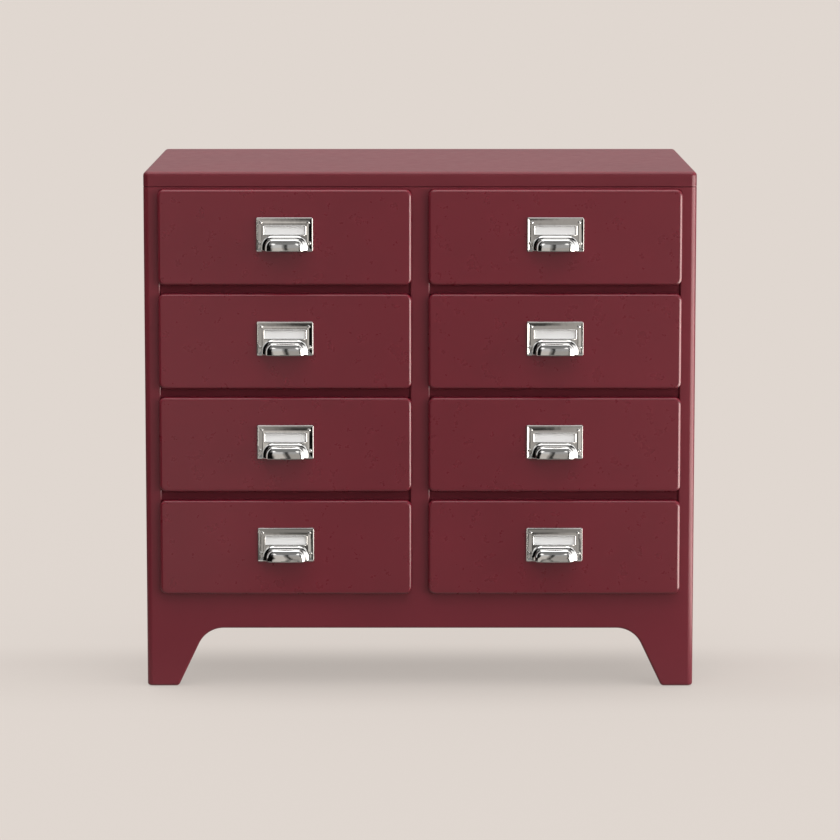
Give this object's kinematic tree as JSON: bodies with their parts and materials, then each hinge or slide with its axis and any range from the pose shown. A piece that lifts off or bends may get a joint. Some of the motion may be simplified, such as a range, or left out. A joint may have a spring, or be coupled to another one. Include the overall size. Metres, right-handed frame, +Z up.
{
  "type": "small metal drawer cabinet",
  "caption": "Sheet-steel chest of overlay drawers in two columns on a leg-cut plinth, with chromed cup pulls that hold label cards.",
  "frame": {"origin": "on the floor, at the middle of the overall width and depth, pulls included", "axes": "+X to the cabinet's right seen from the front, +Y to the back, +Z up; the drawers open towards -Y"},
  "size_m": [0.65, 0.4086, 0.615],
  "materials": {
    "painted_sheet": "satin dark burgundy stove enamel",
    "painted_fronts": "satin dark burgundy stove enamel",
    "painted_drawers": "satin dark burgundy stove enamel, thinner inside",
    "zinc_runners": "zinc-plated folded steel",
    "zinc_screws": "zinc-plated, slotted",
    "black_glides": "moulded black plastic",
    "chrome_pulls": "bright chrome on stamped steel",
    "pull_screws": "bright chrome, slotted round head",
    "label_card": "blank white card"
  },
  "bodies": {
    "cabinet": {"front_frame": "painted_sheet", "side_panel_left": "painted_sheet", "side_panel_right": "painted_sheet", "back_panel": "painted_sheet", "back_screws": "zinc_screws", "top_cover": "painted_sheet", "bottom_panel": "painted_sheet", "centre_partition": "painted_sheet", "drawer_rails": "painted_sheet", "runners_outer_left": "zinc_runners", "runners_inner_left": "zinc_runners", "runners_inner_right": "zinc_runners", "runners_outer_right": "zinc_runners", "foot_plates": "painted_sheet", "foot_glides": "black_glides"},
    "drawer_left_1": {"drawer_box_left_1": "painted_drawers", "drawer_front_left_1": "painted_fronts", "cup_pull_left_1": "chrome_pulls", "label_card_left_1": "label_card", "pull_screws_left_1": "pull_screws"},
    "drawer_left_2": {"drawer_box_left_2": "painted_drawers", "drawer_front_left_2": "painted_fronts", "cup_pull_left_2": "chrome_pulls", "label_card_left_2": "label_card", "pull_screws_left_2": "pull_screws"},
    "drawer_left_3": {"drawer_box_left_3": "painted_drawers", "drawer_front_left_3": "painted_fronts", "cup_pull_left_3": "chrome_pulls", "label_card_left_3": "label_card", "pull_screws_left_3": "pull_screws"},
    "drawer_left_4": {"drawer_box_left_4": "painted_drawers", "drawer_front_left_4": "painted_fronts", "cup_pull_left_4": "chrome_pulls", "label_card_left_4": "label_card", "pull_screws_left_4": "pull_screws"},
    "drawer_right_1": {"drawer_box_right_1": "painted_drawers", "drawer_front_right_1": "painted_fronts", "cup_pull_right_1": "chrome_pulls", "label_card_right_1": "label_card", "pull_screws_right_1": "pull_screws"},
    "drawer_right_2": {"drawer_box_right_2": "painted_drawers", "drawer_front_right_2": "painted_fronts", "cup_pull_right_2": "chrome_pulls", "label_card_right_2": "label_card", "pull_screws_right_2": "pull_screws"},
    "drawer_right_3": {"drawer_box_right_3": "painted_drawers", "drawer_front_right_3": "painted_fronts", "cup_pull_right_3": "chrome_pulls", "label_card_right_3": "label_card", "pull_screws_right_3": "pull_screws"},
    "drawer_right_4": {"drawer_box_right_4": "painted_drawers", "drawer_front_right_4": "painted_fronts", "cup_pull_right_4": "chrome_pulls", "label_card_right_4": "label_card", "pull_screws_right_4": "pull_screws"}
  },
  "joints": [
    {"name": "drawer_left_1_slide", "type": "slide", "parent": "cabinet", "child": "drawer_left_1", "axis": [0, -1, 0], "range_m": [0, 0.28]},
    {"name": "drawer_left_2_slide", "type": "slide", "parent": "cabinet", "child": "drawer_left_2", "axis": [0, -1, 0], "range_m": [0, 0.28]},
    {"name": "drawer_left_3_slide", "type": "slide", "parent": "cabinet", "child": "drawer_left_3", "axis": [0, -1, 0], "range_m": [0, 0.28]},
    {"name": "drawer_left_4_slide", "type": "slide", "parent": "cabinet", "child": "drawer_left_4", "axis": [0, -1, 0], "range_m": [0, 0.28]},
    {"name": "drawer_right_1_slide", "type": "slide", "parent": "cabinet", "child": "drawer_right_1", "axis": [0, -1, 0], "range_m": [0, 0.28]},
    {"name": "drawer_right_2_slide", "type": "slide", "parent": "cabinet", "child": "drawer_right_2", "axis": [0, -1, 0], "range_m": [0, 0.28]},
    {"name": "drawer_right_3_slide", "type": "slide", "parent": "cabinet", "child": "drawer_right_3", "axis": [0, -1, 0], "range_m": [0, 0.28]},
    {"name": "drawer_right_4_slide", "type": "slide", "parent": "cabinet", "child": "drawer_right_4", "axis": [0, -1, 0], "range_m": [0, 0.28]}
  ]
}
